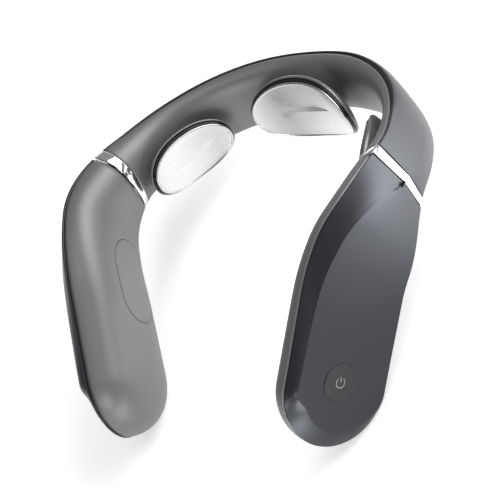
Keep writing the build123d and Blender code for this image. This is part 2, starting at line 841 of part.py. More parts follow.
with BuildPart() as power_button:
    with BuildSketch(button_plane(-button_thick)):
        Circle(button_radius)
    extrude(amount=button_thick)
    with BuildSketch(button_plane(-button_thick - lip_height)):
        Circle(button_radius + lip_width)
    extrude(amount=lip_height)
finish(power_button.part, "power_button")

with BuildPart() as tact_switch:
    with BuildSketch(across_plane(button_station, inward=frame_low - switch_height, up=button_rise)):
        Rectangle(switch_size, switch_size)
    extrude(amount=switch_height - 0.02)
finish(tact_switch.part, "tact_switch")
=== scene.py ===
import json
import math

import bmesh
import bpy
import numpy as np
from mathutils import Matrix, Vector

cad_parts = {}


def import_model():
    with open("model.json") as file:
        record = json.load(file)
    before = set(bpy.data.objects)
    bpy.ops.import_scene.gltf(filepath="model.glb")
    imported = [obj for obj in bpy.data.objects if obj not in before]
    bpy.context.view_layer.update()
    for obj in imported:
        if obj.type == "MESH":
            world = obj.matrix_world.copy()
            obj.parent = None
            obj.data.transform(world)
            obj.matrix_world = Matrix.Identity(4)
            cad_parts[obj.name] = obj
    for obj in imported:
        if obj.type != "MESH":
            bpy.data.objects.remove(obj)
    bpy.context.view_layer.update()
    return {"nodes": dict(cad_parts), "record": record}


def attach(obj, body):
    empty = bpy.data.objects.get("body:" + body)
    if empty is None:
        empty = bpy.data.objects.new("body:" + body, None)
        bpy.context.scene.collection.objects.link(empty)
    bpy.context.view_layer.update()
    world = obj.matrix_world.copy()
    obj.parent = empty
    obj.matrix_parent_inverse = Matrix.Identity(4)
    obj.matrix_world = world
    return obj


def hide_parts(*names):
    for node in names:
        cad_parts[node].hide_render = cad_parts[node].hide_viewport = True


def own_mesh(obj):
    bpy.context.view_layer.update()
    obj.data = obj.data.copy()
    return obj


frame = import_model()

MM = 0.001

# ------------------------------------------------------------------ the band, as in the CAD (mm)
half_width = 75.7
back_radius = 90.0
back_angle = math.radians(24.8)
side_radius = 51.0
toe_in = math.radians(16.5)
apex_y = -9.4
apex_radius = 65.4
front_droop = math.radians(25.7)
back_droop = math.radians(25.3)
ring_station = 101.0
ring_width = 4.0
hinge_gap = 0.8
arm_station = 184.4
LEAN = [(0, 27.0), (35, 17.0), (70, 6.0), (101, -2.0), (125, -7.5), (184, -7.0)]
seam_sag = 1.3

seam_half = 0.8
back_half_height = 12.4
neck_half_height = 13.9
tip_half_height = 22.5
swell = (88, 138)              # the band grows taller between these stations
back_inner_depth = 7.5
ring_inner_depth = 14.3
arm_inner_depth = 16.8
back_outer_depth = 3.3
arm_outer_depth = 5.2
lower_edge = 1.3               # bevel along the lower edge
lower_edge_share = 0.55        # depth of the outer face there, as a share of the crease's
inner_wall = 1.5
outer_wall = 1.1
gasket_recess = 0.6
gasket_width = 1.6
bridge_end = ring_station - ring_width / 2
arm_start = ring_station + ring_width / 2 + hinge_gap

corner_radius = (half_width - back_radius * math.sin(back_angle)) / (1 - math.sin(back_angle))
back_end = back_radius * back_angle
corner_end = back_end + corner_radius * (math.pi / 2 - back_angle)
side_end = corner_end + side_radius * toe_in
widest_y = -corner_radius * math.cos(back_angle) + back_radius * (math.cos(back_angle) - 1)


def smooth(value, low, high):
    share = np.clip((np.asarray(value, float) - low) / (high - low), 0, 1)
    return share * share * (3 - 2 * share)


def through(value, points):
    """Smooth curve through a few (station, value) points, level beyond the ends."""
    xs, ys = np.array(points, float).T
    slopes = np.gradient(ys, xs)
    slopes[0] = slopes[-1] = 0
    value = np.clip(np.asarray(value, float), xs[0], xs[-1])
    i = np.clip(np.searchsorted(xs, value) - 1, 0, len(xs) - 2)
    gap = xs[i + 1] - xs[i]
    t = (value - xs[i]) / gap
    return (
        ys[i] * (1 + 2 * t) * (1 - t) ** 2
        + slopes[i] * gap * t * (1 - t) ** 2
        + ys[i + 1] * t * t * (3 - 2 * t)
        + slopes[i + 1] * gap * t * t * (t - 1)
    )


def seam_line(station):
    """Centre, heading, up and outward directions of the band at each station."""
    station = np.atleast_1d(np.asarray(station, float))
    side = np.where(station < 0, -1.0, 1.0)
    reach = np.abs(station)
    s = np.minimum(reach, arm_station)
    corner = back_angle + (s - back_end) / corner_radius
    toed = math.pi / 2 + np.clip(s - corner_end, 0, side_end - corner_end) / side_radius
    straight = np.maximum(s - side_end, 0)
    in_back = s <= back_end
    in_corner = (s > back_end) & (s <= corner_end)
    turn = np.where(in_back, s / back_radius, np.where(in_corner, corner, toed))
    x = np.where(
        in_back,
        back_radius * np.sin(turn),
        np.where(
            in_corner,
            half_width - corner_radius * (1 - np.sin(turn)),
            half_width - side_radius * (1 - np.sin(turn)) + straight * np.cos(turn),
        ),
    )
    y = np.where(
        in_back,
        back_radius * (np.cos(turn) - 1) - widest_y,
        np.where(
            in_corner,
            corner_radius * np.cos(turn),
            side_radius * np.cos(turn) - straight * np.sin(turn),
        ),
    )
    run = y - apex_y
    held = np.clip(run, -apex_radius * math.sin(front_droop), apex_radius * math.sin(back_droop))
    drop = np.sqrt(apex_radius**2 - held**2)
    slope = -held / drop
    z = drop - apex_radius + (run - held) * slope
    heading = np.c_[np.cos(turn), -np.sin(turn), -slope * np.sin(turn)]
    heading /= np.linalg.norm(heading, axis=1)[:, None]
    level_out = np.c_[np.sin(turn), np.cos(turn), 0 * turn]
    upright = np.cross(heading, level_out)
    lean = np.radians(through(s, LEAN))[:, None]
    up = upright * np.cos(lean) + level_out * np.sin(lean)
    out = level_out * np.cos(lean) - upright * np.sin(lean)
    centre = np.c_[x, y, z] + heading * (reach - s)[:, None]
    centre = centre - up * (seam_sag * smooth(reach, 40, 110))[:, None]
    flip = np.c_[side, np.ones_like(side), np.ones_like(side)]
    return centre * flip, heading * flip, up * flip, out * flip


def half_height(station):
    reach = np.abs(station)
    at_neck = (neck_half_height - back_half_height) * smooth(reach, 0, 35)
    at_arm = (tip_half_height - neck_half_height) * smooth(reach, *swell)
    return back_half_height + at_neck + at_arm


def inner_depth(station):
    reach = np.abs(station)
    at_ring = (ring_inner_depth - back_inner_depth) * smooth(reach, 66, 112)
    at_arm = (arm_inner_depth - ring_inner_depth) * smooth(reach, 120, 160)
    return back_inner_depth + at_ring + at_arm


def outer_depth(station):
    at_arm = (arm_outer_depth - back_outer_depth) * smooth(np.abs(station), 100, 140)
    return back_outer_depth + at_arm


# the crease of the outer face, up from the middle of the band at each station
CREASE = [(62, -4.5), (70, -4.7), (85, -5), (96, -3.7), (105, -0.8), (115, 5.9), (127, 12.3)]
CREASE += [(142, 16.2), (158, 18.5), (173, 19.4), (184, 19.9)]


def crease_height(station):
    return through(np.abs(station), CREASE)


# from the seam line's axes to the part's: centred in plan, standing on z = 0
SHIFT = np.array([0.0, 7.985, 45.036])


def place(station, up_by, in_by):
    """Points from station, height up the band and depth towards the neck, in metres."""
    shape = np.broadcast(station, up_by, in_by).shape
    s, u, d = [np.broadcast_to(a, shape).ravel() for a in (station, up_by, in_by)]
    centre, _, up, out = seam_line(s)
    spots = centre + up * u[:, None] - out * d[:, None] + SHIFT
    return (spots * MM).reshape(*shape, 3)


# ------------------------------------------------------------------ mesh helpers
def mesh_object(name, verts, faces, smooth_faces=True):
    mesh = bpy.data.meshes.new(name)
    mesh.from_pydata([tuple(v) for v in verts], [], faces)
    mesh.validate()
    mesh.polygons.foreach_set("use_smooth", [smooth_faces] * len(mesh.polygons))
    piece = bpy.data.objects.new(name, mesh)
    bpy.context.collection.objects.link(piece)
    return piece


def grid_object(name, grid, wrap=False, flip=False, close_start=False, close_end=False):
    """Mesh from a grid of points, rows by columns; wrap joins the last column to the first."""
    rows, cols = grid.shape[:2]
    verts = list(grid.reshape(-1, 3))
    faces = []
    for i in range(rows - 1):
        for j in range(cols if wrap else cols - 1):
            k = (j + 1) % cols
            face = (i * cols + j, i * cols + k, (i + 1) * cols + k, (i + 1) * cols + j)
            faces.append(face[::-1] if flip else face)
    for closed, row in ((close_start, 0), (close_end, rows - 1)):
        if closed:
            loop = [row * cols + j for j in range(cols)]
            if (row == 0) != flip:
                loop = loop[::-1]
            faces.append(loop)
    return mesh_object(name, verts, faces)


def weld(piece, distance=0.00002):
    mesh = bmesh.new()
    mesh.from_mesh(piece.data)
    bmesh.ops.remove_doubles(mesh, verts=mesh.verts, dist=distance)
    bmesh.ops.recalc_face_normals(mesh, faces=mesh.faces)
    mesh.to_mesh(piece.data)
    mesh.free()
    piece.data.polygons.foreach_set("use_smooth", [True] * len(piece.data.polygons))
    return piece


def thicken(piece, thickness, inwards=True):
    solid = piece.modifiers.new("wall", "SOLIDIFY")
    solid.thickness = thickness * MM
    solid.offset = -1.0 if inwards else 1.0
    solid.use_even_offset = False
    return piece


def finish_piece(piece, body, material, slot, *nodes):
    piece.data.materials.clear()
    piece.data.materials.append(material)
    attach(piece, body)
    if nodes:
        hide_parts(*nodes)
    return piece


# ------------------------------------------------------------------ materials
class Nodes:
    """A material's node tree, with short calls to add to it."""

    def __init__(self, name):
        self.material = bpy.data.materials.new(name)
        self.material.use_nodes = True
        self.tree = self.material.node_tree
        self.shader = self.tree.nodes["Principled BSDF"]

    def add(self, kind, **values):
        node = self.tree.nodes.new(kind)
        for key, value in values.items():
            if hasattr(node, key):
                setattr(node, key, value)
            else:
                node.inputs[key.replace("_", " ")].default_value = value
        return node

    def link(self, source, target):
        self.tree.links.new(source, target)

    def set(self, **values):
        for key, value in values.items():
            self.shader.inputs[key.replace("_", " ")].default_value = value

    def position(self, scale=(1, 1, 1)):
        place_node = self.add("ShaderNodeTexCoord")
        mapping = self.add("ShaderNodeMapping")
        mapping.inputs["Scale"].default_value = scale
        self.link(place_node.outputs["Object"], mapping.inputs["Vector"])
        return mapping.outputs["Vector"]

    def noise(self, scale, detail=3.0, roughness=0.5, stretch=(1, 1, 1)):
        node = self.add("ShaderNodeTexNoise")
        node.inputs["Scale"].default_value = scale
        node.inputs["Detail"].default_value = detail
        node.inputs["Roughness"].default_value = roughness
        self.link(self.position(stretch), node.inputs["Vector"])
        return node.outputs["Fac"]

    def ramp(self, source, low, high, start=0.0, end=1.0):
        node = self.add("ShaderNodeMapRange")
        node.inputs["From Min"].default_value = start
        node.inputs["From Max"].default_value = end
        node.inputs["To Min"].default_value = low
        node.inputs["To Max"].default_value = high
        self.link(source, node.inputs["Value"])
        return node.outputs["Result"]

    def colours(self, source, dark, light):
        node = self.add("ShaderNodeMix")
        node.data_type = "RGBA"
        node.inputs[6].default_value = (*dark, 1)
        node.inputs[7].default_value = (*light, 1)
        self.link(source, node.inputs[0])
        return node.outputs[2]

    def bump(self, source, strength, distance):
        node = self.add("ShaderNodeBump")
        node.inputs["Strength"].default_value = strength
        node.inputs["Distance"].default_value = distance
        self.link(source, node.inputs["Height"])
        self.link(node.outputs["Normal"], self.shader.inputs["Normal"])


def soft_touch(name, colour, roughness, grain=0.12):
    """Satin moulded plastic with a fine spark-eroded grain."""
    n = Nodes(name)
    shade = n.noise(18, 2)
    dark = tuple(0.965 * c for c in colour)
    light = tuple(1.035 * c for c in colour)
    n.link(n.colours(shade, dark, light), n.shader.inputs["Base Color"])
    n.link(n.ramp(n.noise(60, 3), roughness - 0.03, roughness + 0.03), n.shader.inputs["Roughness"])
    n.bump(n.noise(5200, 2, 0.6), grain, 0.00002)
    return n


def inner_plastic():
    n = soft_touch("SatinGreyShell", (0.16, 0.16, 0.163), 0.46)
    n.set(Metallic=0.5, Coat_Weight=0.05, Coat_Roughness=0.4)
    return n.material


def outer_paint():
    n = Nodes("SlateMetallicPaint")
    flakes = n.noise(4200, 2, 0.7)
    n.link(n.colours(flakes, (0.030, 0.032, 0.036), (0.046, 0.049, 0.056)), n.shader.inputs["Base Color"])
    n.link(n.ramp(n.noise(45, 3), 0.34, 0.40), n.shader.inputs["Roughness"])
    n.bump(n.noise(3000, 2, 0.5), 0.08, 0.00002)
    n.set(Metallic=0.85, Coat_Weight=0.12, Coat_Roughness=0.25)
    return n.material


def chrome():
    n = Nodes("MirrorChrome")
    smudge = n.noise(70, 4, 0.6)
    n.link(n.colours(smudge, (0.80, 0.80, 0.81), (0.88, 0.88, 0.89)), n.shader.inputs["Base Color"])
    n.link(n.ramp(smudge, 0.05, 0.11), n.shader.inputs["Roughness"])
    n.bump(n.noise(900, 2), 0.02, 0.00001)
    n.set(Metallic=1.0)
    return n.material


def brushed_steel():
    """Stainless steel brushed from side to side."""
    n = Nodes("BrushedSteel")
    lines = n.noise(1400, 3, 0.6, stretch=(0.02, 1.6, 1.6))
    n.link(n.colours(lines, (0.36, 0.36, 0.365), (0.56, 0.56, 0.565)), n.shader.inputs["Base Color"])
    n.link(n.ramp(lines, 0.20, 0.32), n.shader.inputs["Roughness"])
    n.bump(lines, 0.12, 0.00002)
    n.set(Metallic=1.0)
    return n.material


def gloss_black():
    n = Nodes("GlossBlack")
    n.link(
        n.colours(n.noise(40, 2), (0.006, 0.006, 0.006), (0.010, 0.010, 0.011)),
        n.shader.inputs["Base Color"],
    )
    n.link(n.ramp(n.noise(120, 3), 0.10, 0.16), n.shader.inputs["Roughness"])
    return n.material


def cup_plastic():
    n = soft_touch("CupPlastic", (0.16, 0.16, 0.165), 0.30, 0.06)
    n.set(Metallic=0.45, Coat_Weight=0.2, Coat_Roughness=0.2)
    return n.material


def silicone():
    n = soft_touch("DarkSilicone", (0.075, 0.075, 0.08), 0.38, 0.2)
    n.set(Coat_Weight=0.1, Coat_Roughness=0.3)
    return n.material


def black_rubber():
    n = soft_touch("BlackGasket", (0.006, 0.006, 0.007), 0.5, 0.2)
    return n.material


def button_black():
    n = soft_touch("ButtonBlack", (0.010, 0.010, 0.0115), 0.42, 0.1)
    return n.material


def button_print():
    n = soft_touch("ButtonMark", (0.20, 0.205, 0.21), 0.45, 0.1)
    return n.material


def bare_metal(name, colour, roughness):
    n = Nodes(name)
    scratches = n.noise(700, 4, 0.7, stretch=(1, 1, 0.2))
    dark = tuple(0.85 * c for c in colour)
    n.link(n.colours(scratches, dark, colour), n.shader.inputs["Base Color"])
    n.link(n.ramp(scratches, roughness - 0.08, roughness + 0.08), n.shader.inputs["Roughness"])
    n.bump(scratches, 0.1, 0.00002)
    n.set(Metallic=1.0)
    return n.material


INNER = inner_plastic()
PAINT = outer_paint()
CHROME = chrome()
STEEL = brushed_steel()
BLACK = gloss_black()
CUP = cup_plastic()
SILICONE = silicone()
GASKET = black_rubber()
BUTTON = button_black()
MARK = button_print()
SPRING = bare_metal("SpringSteel", (0.5, 0.5, 0.51), 0.35)
BARE = bare_metal("BrightSteel", (0.6, 0.6, 0.61), 0.28)
HOUSING = soft_touch("BlackNylon", (0.03, 0.03, 0.032), 0.5, 0.3).material
WRAP = soft_touch("BatteryWrap", (0.05, 0.14, 0.35), 0.35, 0.1).material
MASK = soft_touch("SolderMask", (0.01, 0.09, 0.04), 0.35, 0.3).material

SLOT_LOOKS = {
    "brushed_plate": STEEL,
    "insulator": BLACK,
    "head_cup": CUP,
    "bellows_rubber": SILICONE,
    "chrome_trim": CHROME,
    "seam_gasket": GASKET,
    "inner_shell": INNER,
    "outer_shell": PAINT,
    "button_cap": BUTTON,
    "battery_wrap": WRAP,
    "circuit_board": MASK,
    "spring_steel": SPRING,
    "bare_steel": BARE,
    "inner_plastic": HOUSING,
}
NODE_SLOT = {part["node"]: part["material_slot"] for part in frame["record"]["subparts"]}
for node, cad_object in frame["nodes"].items():
    cad_object.data.materials.clear()
    cad_object.data.materials.append(SLOT_LOOKS[NODE_SLOT[node]])

SIDES = {"left": -1.0, "right": 1.0}


# ------------------------------------------------------------------ arm shells
def arm_contour(sign, along=60, round_tip=48):
    """The arm's rim from the ring along the top, round the tip and back: station, height, tip angle."""
    s = np.linspace(arm_start, arm_station, along)
    angle = np.linspace(math.pi / 2, -math.pi / 2, round_tip + 2)[1:-1]
    station = np.r_[s, np.full(round_tip, arm_station), s[::-1]]
    turn = np.r_[np.full(along, math.pi / 2), angle, np.full(along, -math.pi / 2)]
    return station, turn


def contour_point(station, turn, radius):
    """A point at a radius from the spine, across the band or, past the last station, round the tip."""
    return station + radius * np.cos(turn), radius * np.sin(turn)


def pillow(share):
    """Section of the inner face, 0 at the rim and 1 at the ridge: radius share and depth share."""
    rest = 1 - share
    radius = rest**3 + 3 * rest**2 * share + 3 * 0.62 * rest * share**2
    depth = 0.72 * 3 * rest**2 * share + 3 * rest * share**2 + share**3
    return radius, depth


def arm_inner_shell(side, sign):
    station, turn = arm_contour(sign)
    radius = half_height(station)
    rows = []
    for share in np.linspace(0, 1, 30):
        across, deep = pillow(share)
        s, w = contour_point(station, turn, radius * across)
        depth = seam_half + (inner_depth(station) - seam_half) * deep
        rows.append(place(sign * s, w, depth))
    piece = weld(grid_object(f"{side}_inner_face", np.array(rows), flip=sign < 0))
    thicken(piece, inner_wall)
    return finish_piece(piece, f"{side}_arm", INNER, "inner_shell", f"{side}_arm_inner_shell")


inlay_station = 149.5
inlay_drop = 1.8
inlay_half_length = 16.7
inlay_half_width = 11.0


def inner_face(station, w):
    """Depth of the arm's inner face at a height across it."""
    across, deep = pillow(np.linspace(0, 1, 400))
    share = np.interp(np.abs(w) / half_height(station), across[::-1], deep[::-1])
    return seam_half + (inner_depth(station) - seam_half) * share


def inlay_rows(sign, steps):
    """Rings of the long oval inlaid in the arm: each (mm beyond its edge, mm above the shell)."""
    arc = np.linspace(-math.pi / 2, math.pi / 2, 31)
    line = np.linspace(-1, 1, 21)[1:-1]
    level = np.full(len(line), math.pi / 2)
    turn = np.r_[arc, level, arc + math.pi, -level]
    along = np.r_[np.ones(len(arc)), -line, -np.ones(len(arc)), line]
    rows = []
    for growth, lift in steps:
        radius = inlay_half_width + growth
        share = min(radius / inlay_half_width, 1.0)
        straight = (inlay_half_length - inlay_half_width) * share * along
        s = inlay_station + straight + radius * np.cos(turn)
        w = -inlay_drop + radius * np.sin(turn)
        rows.append(place(sign * s, w, inner_face(s, w) + lift))
    return np.array(rows)


def arm_inlay():
    """The oval set into the left arm, and a thin black strip laid round it as a painted shadow where the
    gap round the inlay would be.
    """
    steps = [(0.0, -0.6), (0.0, 0.0), (-0.12, 0.06)]
    steps += [(-inlay_half_width * t, 0.06) for t in (0.1, 0.2, 0.35, 0.5, 0.65, 0.8, 0.92)]
    face = grid_object("left_inlay_face", inlay_rows(-1.0, steps), wrap=True, close_end=True)
    finish_piece(face, "left_arm", INNER, "inner_shell", "left_arm_inlay")
    # Painted shadow: this black strip stands in for the shade of the gap round the inlay; it is laid on
    # the shell, not cut into it.
    steps = [(0.26, -0.2), (0.24, 0.03), (0.02, 0.03), (0.0, -0.2)]
    seam = grid_object("left_inlay_painted_shadow_strip", inlay_rows(-1.0, steps), wrap=True)
    finish_piece(seam, "left_arm", GASKET, "seam_gasket")


tip_bevel = 6.6
panel_crown = 0.45             # how far the middle of the panel bulges
bevel_bow = 0.35               # and the middle of the bevel


def bevel_inset(station, turn):
    """Rim to crease: the bevel is wide at the ring and round the tip, and narrow on the lower edge."""
    height = half_height(station)
    along_top = height - crease_height(station)
    along_bottom = lower_edge + 0 * station
    widening = smooth(-turn, -math.radians(89), -math.radians(62))
    tip_top = along_top + (tip_bevel - along_top) * widening
    tip = tip_top + (lower_edge - tip_top) * smooth(-turn, math.radians(28), math.radians(84))
    inset = np.where(turn > math.pi / 2 - 1e-6, along_top, tip)
    return np.where(turn < -math.pi / 2 + 1e-6, along_bottom, inset)


def panel_depth(station, w):
    """Depth of the flat panel: it leans from the crease down to the lower edge."""
    top = crease_height(station)
    bottom = -half_height(station) + lower_edge
    deep = outer_depth(station)
    return deep + (lower_edge_share - 1) * deep * (top - w) / (top - bottom)


def arm_outer_shell(side, sign):
    station, turn = arm_contour(sign)
    height = half_height(station)
    inset = bevel_inset(station, turn)
    crease_radius = height - inset
    _, crease_w = contour_point(station, turn, crease_radius)
    crease_deep = panel_depth(station, crease_w)
    middle_deep = panel_depth(station, 0 * station)
    rows = []
    for share in (0.0, 0.06, 0.14, 0.3, 0.5, 0.7, 0.86):
        s, w = contour_point(station, turn, height - inset * share)
        bow = bevel_bow * math.sin(math.pi * share)
        rows.append(place(sign * s, w, -(seam_half + (crease_deep - seam_half) * share + bow)))
    for near in (0.94, 1.0):
        s, w = contour_point(station, turn, height - inset * near)
        rows.append(place(sign * s, w, -(seam_half + (crease_deep - seam_half) * near)))
    for share in (0.03, 0.08, 0.16, 0.28, 0.42, 0.56, 0.7, 0.85, 1.0):
        s, w = contour_point(station, turn, crease_radius * (1 - share))
        crown = panel_crown * (1 - (1 - share) ** 2)
        rows.append(place(sign * s, w, -(crease_deep + (middle_deep - crease_deep) * share + crown)))
    piece = weld(grid_object(f"{side}_outer_face", np.array(rows), flip=sign > 0))
    thicken(piece, outer_wall)
    return finish_piece(piece, f"{side}_arm", PAINT, "outer_shell", f"{side}_arm_outer_shell")


def gasket_corners():
    """Section of a seam's gasket: how far in from the rim, and depth."""
    outer, inner = gasket_recess, gasket_recess + gasket_width
    return ((outer, seam_half), (outer, -seam_half), (inner, -seam_half), (inner, seam_half))


def arm_gasket(side, sign):
    station, turn = arm_contour(sign)
    height = half_height(station)
    loop = []
    for inset, depth in gasket_corners():
        s, w = contour_point(station, turn, height - inset)
        loop.append(place(sign * s, w, depth + 0 * s))
    grid = np.array(loop + [loop[0]])
    piece = weld(grid_object(f"{side}_seam", grid))
    return finish_piece(piece, f"{side}_arm", GASKET, "seam_gasket", f"{side}_arm_gasket")


for side, sign in SIDES.items():
    arm_inner_shell(side, sign)
    arm_outer_shell(side, sign)
    arm_gasket(side, sign)
arm_inlay()


# ------------------------------------------------------------------ heads' frames
HEADS = {
    "left": (-72.7, 17.4, -2.3, 18.5, 10.7, 4.0, 7.1),
    "centre": (0.0, 18.5, -2.1, 24.6, 14.6, -6.6, 0.0),
    "right": (72.7, 17.4, -2.3, 18.5, 10.7, 4.0, -7.1),
}
plate_radius = 48.0


def head_frame(name):
    """Middle of the plate in mm and its directions: along the band, up, towards the neck."""
    station, stand_off, rise, _, _, pitch, yaw = HEADS[name]
    side = -1 if station < 0 else 1
    centre, heading, up, out = [a[0] for a in seam_line([station])]
    base = Matrix((heading * side, up, -out)).transposed()
    turned = base @ Matrix.Rotation(math.radians(-pitch), 3, "X")
    turned = turned @ Matrix.Rotation(math.radians(yaw), 3, "Y")
    spot = centre - out * stand_off + up * rise + SHIFT
    return spot, np.array(turned)


def face_depth(name):
    station, stand_off = HEADS[name][:2]
    return stand_off - float(inner_depth(station))


# ------------------------------------------------------------------ bridge shells
# The swelling under each neck: middle head and side heads, mm.
mound_height = 2.0
side_mound = 0.8


def mound(station, w):
    """How far the inner cover swells towards the foot of each head's neck."""
    lift = 0 * station
    for name, (at, _, rise, _, _, _, _) in HEADS.items():
        far = np.hypot(station - at, w - rise)
        lift = lift + (mound_height if at == 0 else side_mound) * (1 - smooth(far, 4.5, 15.0))
    return lift


def bridge_inner_cover():
    s = np.linspace(-bridge_end, bridge_end, 221)
    rows = []
    for share in np.r_[np.linspace(0, 1, 25), np.linspace(1, 2, 25)[1:]]:
        across, deep = pillow(share if share <= 1 else 2 - share)
        w = half_height(s) * across * (-1 if share <= 1 else 1)
        depth = seam_half + (inner_depth(s) - seam_half) * deep + mound(s, w) * deep
        rows.append(place(s, w, depth))
    piece = weld(grid_object("bridge_inner_face", np.array(rows), flip=True))
    thicken(piece, inner_wall)
    return finish_piece(piece, "bridge", INNER, "inner_shell", "bridge_inner_cover")


def bridge_outer_cover():
    s = np.linspace(-bridge_end, bridge_end, 221)
    height = half_height(s)
    deep = outer_depth(s)
    crease = crease_height(s)
    low = -height + lower_edge
    sharp = smooth(np.abs(s), 58, 84)
    rows = []
    marks = [(-1, 0)] + [(0, t) for t in (0.0, 0.03, 0.1, 0.25, 0.45, 0.65, 0.82, 0.94, 1.0)]
    marks += [(1, t) for t in (0.06, 0.18, 0.35, 0.55, 0.75, 0.9, 0.97, 1.0)]
    for part, t in marks:
        if part < 0:
            w, facet = -height, seam_half + 0 * s
        elif part == 0:
            w = low + (crease - low) * t
            facet = deep * (lower_edge_share + (1 - lower_edge_share) * t)
        else:
            w = crease + (height - crease) * t
            facet = deep + (seam_half - deep) * t
        round_share = np.clip((w / height) ** 2, 0, 1)
        arc = seam_half + (deep - seam_half) * np.sqrt(np.maximum(1 - round_share**1.6, 0))
        bow = 0.3 * math.sin(math.pi * t) if part >= 0 else 0
        rows.append(place(s, w, -(facet + bow) * sharp - arc * (1 - sharp)))
    piece = weld(grid_object("bridge_outer_face", np.array(rows), flip=False))
    thicken(piece, outer_wall)
    return finish_piece(piece, "bridge", PAINT, "outer_shell", "bridge_outer_cover")


def bridge_gasket():
    s = np.linspace(-bridge_end, bridge_end, 161)
    strips = []
    for edge in (1, -1):
        loop = []
        for inset, depth in gasket_corners():
            loop.append(place(s, edge * (half_height(s) - inset), depth + 0 * s))
        strips.append(np.array(loop + [loop[0]]))
    verts = np.concatenate([strip.reshape(-1, 3) for strip in strips])
    cols = len(s)
    faces = []
    for k in range(2):
        base = k * 5 * cols
        for i in range(4):
            for j in range(cols - 1):
                a = base + i * cols + j
                faces.append((a, a + 1, a + cols + 1, a + cols))
    piece = weld(mesh_object("bridge_seam", verts, faces))
    return finish_piece(piece, "bridge", GASKET, "seam_gasket", "bridge_seam_gasket")


bridge_inner_cover()
bridge_outer_cover()
bridge_gasket()


# ------------------------------------------------------------------ chrome rings
def band_outline(station, count=22):
    """Closed outline of the band at one station: height and depth towards the neck."""
    height = float(half_height(station))
    deep = float(inner_depth(station))
    out = float(outer_depth(station))
    crease = float(crease_height(station))
    points = []
    for share in np.linspace(0, 1, count):
        across, depth = pillow(share)
        points.append((-height * across, seam_half + (deep - seam_half) * depth))
    for share in np.linspace(1, 0, count)[1:]:
        across, depth = pillow(share)
        points.append((height * across, seam_half + (deep - seam_half) * depth))
    for t in (0, 0.1, 0.3, 0.5, 0.7, 0.9, 0.97, 1.0):
        points.append((height + (crease - height) * t, -(seam_half + (out - seam_half) * t)))
    for t in (0.03, 0.1, 0.3, 0.5, 0.7, 0.9, 1.0):
        low = -height + lower_edge
        points.append((crease + (low - crease) * t, -out * (1 + (lower_edge_share - 1) * t)))
    points.append((-height, -seam_half))
    return np.array(points)


def grown(outline, by):
    """The outline moved out by a distance, along its own normals."""
    before = np.roll(outline, 1, axis=0)
    after = np.roll(outline, -1, axis=0)
    along = after - before
    along /= np.linalg.norm(along, axis=1)[:, None]
    normal = np.c_[along[:, 1], -along[:, 0]]
    if np.sum(normal * (outline - outline.mean(axis=0))) < 0:
        normal = -normal
    return outline + normal * by


def chrome_ring(side, sign):
    """Rounded trim ring. Its section is (mm along the band, mm proud of the shells)."""
    profile = [(0.05, -1.5), (0.05, -0.2), (0.25, 0.06), (0.6, 0.14), (2.0, 0.16), (3.4, 0.14)]
    profile += [(3.75, 0.06), (3.95, -0.2), (3.95, -1.5), (0.05, -1.5)]
    rows = []
    for across, proud in profile:
        station = bridge_end + across
        outline = grown(band_outline(station), proud)
        rows.append(place(sign * station, outline[:, 0], outline[:, 1]))
    piece = weld(grid_object(f"{side}_trim_ring", np.array(rows), wrap=True))
    return finish_piece(piece, "bridge", CHROME, "chrome_trim", f"{side}_chrome_ring")


for side, sign in SIDES.items():
    chrome_ring(side, sign)


# ------------------------------------------------------------------ massage heads
def superoval(a, b, angle, power=2.25):
    c, s = np.cos(angle), np.sin(angle)
    radius = (np.abs(c / a) ** power + np.abs(s / b) ** power) ** (-1 / power)
    return radius * c, radius * s


def oval_loft(name, profile, title, segments=128, close_start=False, close_end=False):
    """Rings about a head's axis, in its own axes. Each is (growth, depth, bend, radius, share):
    mm beyond the plate's outline, mm behind its face, how much it bends round the neck, and
    a radius that it turns into, with how far."""
    spot, axes = head_frame(name)
    a, b = HEADS[name][3:5]
    angle = np.linspace(0, 2 * math.pi, segments, endpoint=False)
    rows = []
    for growth, depth, bend, radius, share in profile:
        x, y = superoval(a + growth, b + growth, angle)
        x = x * (1 - share) + radius * np.cos(angle) * share
        y = y * (1 - share) + radius * np.sin(angle) * share
        sag = plate_radius - np.sqrt(np.maximum(plate_radius**2 - x**2, 0))
        rows.append(np.c_[x, y, sag * bend - depth] * MM)
    piece = grid_object(
        title, np.array(rows), wrap=True, flip=True, close_start=close_start, close_end=close_end
    )
    piece.matrix_world = Matrix.Translation(Vector(spot * MM)) @ Matrix(axes.tolist()).to_4x4()
    return piece


def electrode_plate(name):
    """Bent steel plate with a raised rim and a slightly hollow face."""
    b = HEADS[name][4]
    profile = [(-0.9, 1.2, 1, 0, 0), (-0.1, 1.2, 1, 0, 0), (0.0, 0.7, 1, 0, 0), (-0.05, 0.3, 1, 0, 0)]
    profile += [(-0.25, 0.06, 1, 0, 0), (-0.5, 0.0, 1, 0, 0), (-0.75, 0.06, 1, 0, 0)]
    profile += [(-0.95, 0.18, 1, 0, 0), (-1.3, 0.2, 1, 0, 0)]
    for t in (0.2, 0.32, 0.45, 0.6, 0.75, 0.9):
        profile.append((-b * t, 0.2 + 0.25 * (1 - (1 - t) ** 2), 1, 0, 0))
    piece = oval_loft(name, profile, f"{name}_plate_face", close_end=True)
    finish_piece(piece, f"{name}_head", STEEL, "brushed_plate", f"{name}_electrode_plate")


def insulating_ring(name):
    """Dark ring between the plate and the cup, seen from the side."""
    profile = [(-0.3, 3.1, 1, 0, 0), (-0.3, 1.25, 1, 0, 0), (0.1, 1.15, 1, 0, 0), (0.35, 1.2, 1, 0, 0)]
    profile += [(0.5, 1.4, 1, 0, 0), (0.5, 3.1, 1, 0, 0), (-0.3, 3.1, 1, 0, 0)]
    piece = weld(oval_loft(name, profile, f"{name}_black_ring"))
    finish_piece(piece, f"{name}_head", BLACK, "insulator", f"{name}_insulating_ring")


neck_radius = 5.8


